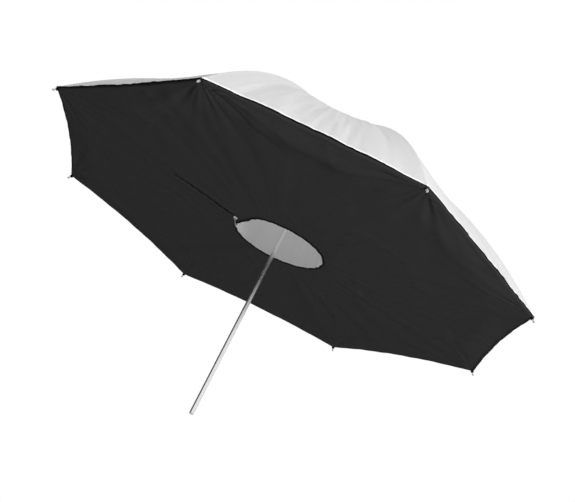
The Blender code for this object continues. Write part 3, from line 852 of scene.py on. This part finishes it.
low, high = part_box("canopy_washer")
wide, bore = (high[0] - low[0]) / 2, SHAFT_R + 0.0003
profile = [(r, dome(r) + 0.0006) for r in [bore + (wide - bore) * k / 8 for k in range(9)]]
profile += [(wide + 0.0002, dome(wide) + 0.0010)]
profile += [(r, dome(r) + 0.0015) for r in [wide - (wide - bore) * k / 8 for k in range(9)]]
washer = lathe("canopy_rosette", profile, edge)
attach(washer, "shaft")
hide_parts("canopy_washer")

# ------------------------------------------------------------------ hub, runner and their wires
WIRE_R = 0.0005
WIRE_STEPS, WIRE_SIDES = 96, 10


def wire_loop(name, height):
    """Wire that the ribs or stretchers turn on, round the shaft."""
    points = []
    for x, y in circle(WIRE_STEPS):
        for c, s in circle(WIRE_SIDES):
            r = PIVOT_R + WIRE_R * c
            points.append((r * x, r * y, height + WIRE_R * s))
    last = (WIRE_STEPS - 1) * WIRE_SIDES
    faces = grid_faces(WIRE_STEPS, WIRE_SIDES, True)
    faces += [(last + j, last + (j + 1) % WIRE_SIDES, (j + 1) % WIRE_SIDES, j) for j in range(WIRE_SIDES)]
    return outward(new_piece(name, points, faces, steel))


hub_wire = wire_loop("hub_wire_loop", HUB_Z)
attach(hub_wire, "shaft")
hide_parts("notch_wire")
runner_wire = wire_loop("runner_wire_loop", RUNNER_Z)
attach(runner_wire, "runner")
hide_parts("runner_wire")

eased("notch_hub", plastic)
eased("runner", plastic)
eased("runner_latch", plastic, 0.0003)
eased("latch_pin", steel, 0.0001)

# ------------------------------------------------------------------ ribs, clips and stretchers
RIB_WIRE_R, STRETCHER_WIRE_R = 0.00155, 0.0013
PIVOT_EYE_R, KNEE_EYE_R = 0.0018, 0.0020
RIB_FROM, RIB_POINTS = 0.023, 44
FLAT_RIB, FLAT_STRETCHER, ROUND = (0.48, 0.92), (0.56, 0.90), (1.0, 1.0)  # (across, deep) factors
RIB_END = 0.0042  # how far a rib's wire runs past its tip
POCKET_R = 0.0031
POCKET = (  # distance past the rib's tip, share of its radius
    (-0.0100, 0.55),
    (-0.0092, 0.85),
    (-0.006, 1.0),
    (0.0012, 1.0),
    (0.0030, 0.9),
    (0.0036, 0.6),
)
BALL_R, BALL_OUT = 0.0022, 0.0080  # its radius, and how far past the tip its middle is
# Distance back from the ball's middle, and radius.
FERRULE = ((0.0030, 0.0011), (0.0042, 0.0012), (0.0043, 0.0021), (0.0052, 0.0022), (0.0053, 0.0016))

tip_r, tip_z = rib_line(SPAN_R)
tip_angle = -fall(SPAN_R)
stretcher_angle = atan2(RUNNER_Z - KNEE_Z, PIVOT_R - KNEE_R)
stretcher_length = hypot(KNEE_R - PIVOT_R, KNEE_Z - RUNNER_Z)


def along_from(r, z, distance, angle):
    """Point at a distance from (r, z) in a rib's plane."""
    return (r + distance * cos(angle), 0, z + distance * sin(angle))


def rib_rod(number):
    """Rib of steel wire, flattened where it meets the hub."""
    line, flat = [], []
    for d in (0.0006, 0.003, 0.006, 0.0085):
        line.append(along_from(PIVOT_R, HUB_Z, d, -fall(PIVOT_R)))
        flat.append(FLAT_RIB)
    for k in range(RIB_POINTS + 1):
        r, z = rib_line(RIB_FROM + (SPAN_R - RIB_FROM - 0.0002) * k / RIB_POINTS)
        line.append((r, 0, z))
        flat.append(ROUND)
    line.append(along_from(tip_r, tip_z, RIB_END, tip_angle))
    flat.append((0.8, 0.8))
    return turn_to(tube(f"rib_rod_{number}", line, RIB_WIRE_R, steel, 14, flat), azimuth_of(number))


def rib_pocket(number):
    """Cloth sleeve that holds the rib's tip."""
    line = [along_from(tip_r, tip_z, d, tip_angle) for d, _ in POCKET]
    flat = [(wide, wide) for _, wide in POCKET]
    return turn_to(tube(f"rib_pocket_{number}", line, POCKET_R, edge, 18, flat), azimuth_of(number))


def rib_ball(number):
    """Bright ball with a ferrule on the rib's tip."""
    at = Vector(along_from(tip_r, tip_z, BALL_OUT, tip_angle))
    back = Vector((-cos(tip_angle), 0, -sin(tip_angle)))
    across = Vector((0, 1, 0))
    over = back.cross(across)
    angles = [0.12 + (pi - 0.24) * k / 12 for k in range(13)]
    steps = [(-cos(a) * BALL_R, sin(a) * BALL_R) for a in angles] + list(FERRULE)
    points = []
    for along, wide in steps:
        for c, s in circle(20):
            points.append(at + back * along + across * (wide * c) + over * (wide * s))
    made = new_piece(f"rib_ball_{number}", points, capped_faces(len(steps), 20), bright)
    return turn_to(sharpen(outward(made), 40), azimuth_of(number))


def stretcher_rod(number):
    """Stretcher of steel wire, flattened at both ends."""
    line, flat = [], []
    for d, shape in (
        (0.0004, FLAT_STRETCHER),
        (0.0070, FLAT_STRETCHER),
        (0.0105, ROUND),
        (stretcher_length - 0.0115, ROUND),
        (stretcher_length - 0.008, FLAT_STRETCHER),
        (stretcher_length - 0.0004, FLAT_STRETCHER),
    ):
        line.append(along_from(KNEE_R, KNEE_Z, d, stretcher_angle))
        flat.append(shape)
    made = tube(f"stretcher_rod_{number}", line, STRETCHER_WIRE_R, steel, 14, flat)
    return turn_to(made, azimuth_of(number))


for number in range(1, RIBS + 1):
    azimuth = azimuth_of(number)
    rod = rib_rod(number)
    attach(rod, f"rib_{number}")
    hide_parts(f"rib_{number}")
    for made in (
        eye_disc(f"rib_eye_{number}", PIVOT_R, HUB_Z, PIVOT_EYE_R, azimuth),
        rib_pocket(number),
        rib_ball(number),
    ):
        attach(made, f"rib_{number}")

    eased(f"rib_clip_{number}", steel, 0.0002)
    rod = stretcher_rod(number)
    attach(rod, f"stretcher_{number}")
    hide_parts(f"stretcher_{number}")
    for made in (
        eye_disc(f"stretcher_knee_{number}", KNEE_R, KNEE_Z, KNEE_EYE_R, azimuth),
        eye_disc(f"stretcher_foot_{number}", PIVOT_R, RUNNER_Z, PIVOT_EYE_R, azimuth),
    ):
        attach(made, f"stretcher_{number}")

# ------------------------------------------------------------------ floor, light and camera
FLOOR_SIZE, FLOOR_Z = 40.0, -3.2
BRIGHT_SIDE = Vector((0.36, -0.80, 0.30)).normalized()
DARK_SKY, BRIGHT_SKY = 0.06, 0.88

bpy.ops.mesh.primitive_plane_add(size=FLOOR_SIZE, location=(0, 0, FLOOR_Z))
floor = bpy.context.object
floor.name = "studio_floor"
floor.data.materials.append(finish_of("floor_paper", (0.82, 0.82, 0.82), 0.9, specular=0.1))
floor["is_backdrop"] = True

# The camera sees plain white, and the object is lit by a sky that is bright on one side.
world = bpy.data.worlds.new("studio")
bpy.context.scene.world = world
world.use_nodes = True
nodes, links = world.node_tree.nodes, world.node_tree.links
nodes.clear()
seen = nodes.new("ShaderNodeBackground")
seen.inputs["Color"].default_value = (1, 1, 1, 1)
seen.inputs["Strength"].default_value = 1.0
lit = nodes.new("ShaderNodeBackground")
lit.inputs["Color"].default_value = (1, 1, 1, 1)
way = nodes.new("ShaderNodeTexCoord")
facing = nodes.new("ShaderNodeVectorMath")
facing.operation = "DOT_PRODUCT"
facing.inputs[1].default_value = BRIGHT_SIDE
spread = nodes.new("ShaderNodeMapRange")
spread.interpolation_type = "SMOOTHSTEP"
spread.inputs["From Min"].default_value = -0.15
spread.inputs["From Max"].default_value = 0.45
spread.inputs["To Min"].default_value = DARK_SKY
spread.inputs["To Max"].default_value = BRIGHT_SKY
path = nodes.new("ShaderNodeLightPath")
pick = nodes.new("ShaderNodeMixShader")
out = nodes.new("ShaderNodeOutputWorld")
links.new(way.outputs["Generated"], facing.inputs[0])
links.new(facing.outputs["Value"], spread.inputs["Value"])
links.new(spread.outputs["Result"], lit.inputs["Strength"])
links.new(path.outputs["Is Camera Ray"], pick.inputs["Fac"])
links.new(lit.outputs["Background"], pick.inputs[1])
links.new(seen.outputs["Background"], pick.inputs[2])
links.new(pick.outputs["Shader"], out.inputs["Surface"])


def softbox(name, where, aim, size, watts):
    light = bpy.data.lights.new(name, "AREA")
    light.shape = "DISK"
    light.size = size
    light.energy = watts
    made = add_object(name, light)
    made.location = where
    made.rotation_mode = "QUATERNION"
    made.rotation_quaternion = (Vector(aim) - Vector(where)).to_track_quat("-Z", "Y")
    made.visible_glossy = False


middle = (0, 0, HEM_Z + 0.05)
softbox("key_light", (0.9, -3.4, 1.3), middle, 1.6, 2)
softbox("rake_light", (0.5, -2.5, -0.40), (0, -0.1, HEM_Z), 0.4, 58)
softbox("top_light", (-0.2, 0.2, 3.4), middle, 2.6, 66)

# The photograph's viewing angle.
CAMERA_AT = (-0.636397, -1.859854, HEM_Z - 0.763294)
CAMERA_RIGHT = Vector((0.7860868, -0.4499172, 0.4238421))
CAMERA_BACK = Vector((-0.3123324, -0.8808426, -0.3557595))

lens = bpy.data.cameras.new("photo_camera")
lens.sensor_width = 36
lens.lens = 69.385
lens.clip_start, lens.clip_end = 0.02, 60
camera = add_object("photo_camera", lens)
bpy.context.scene.camera = camera
axes = Matrix((CAMERA_RIGHT, CAMERA_BACK.cross(CAMERA_RIGHT), CAMERA_BACK))
camera.matrix_world = Matrix.Translation(CAMERA_AT) @ axes.transposed().to_4x4()

view = bpy.context.scene.view_settings
view.view_transform = "Standard"
view.look = "None"
view.exposure = 0.0
view.gamma = 1.0

low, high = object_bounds()
